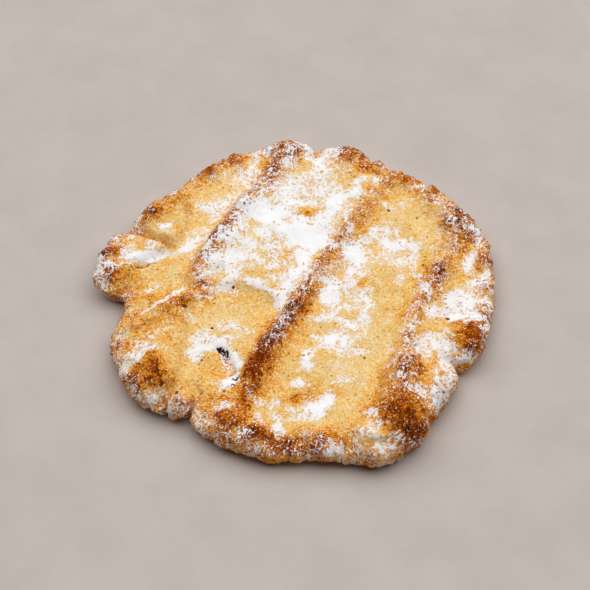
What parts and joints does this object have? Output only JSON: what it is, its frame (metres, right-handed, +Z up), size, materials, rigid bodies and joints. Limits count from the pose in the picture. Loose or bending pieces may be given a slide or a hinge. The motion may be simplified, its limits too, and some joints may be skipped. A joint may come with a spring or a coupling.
{
  "type": "amaretti cookie",
  "caption": "Flat round almond biscuit, pinched by hand into raised ridges and valleys, dusted with sugar and browned along its crests and rim.",
  "frame": {"origin": "middle of the flat base, on the surface that the cookie rests on", "axes": "+Z up; +Y towards the back, where two ridges meet the rim; +X right. The longest ridge runs from the back right to the front left"},
  "size_m": [0.079, 0.0814, 0.0098],
  "materials": {
    "crust": "baked almond dough, browned on its crests and dusted with fine white sugar"
  },
  "bodies": {
    "root": {"cookie": "crust"}
  },
  "joints": []
}
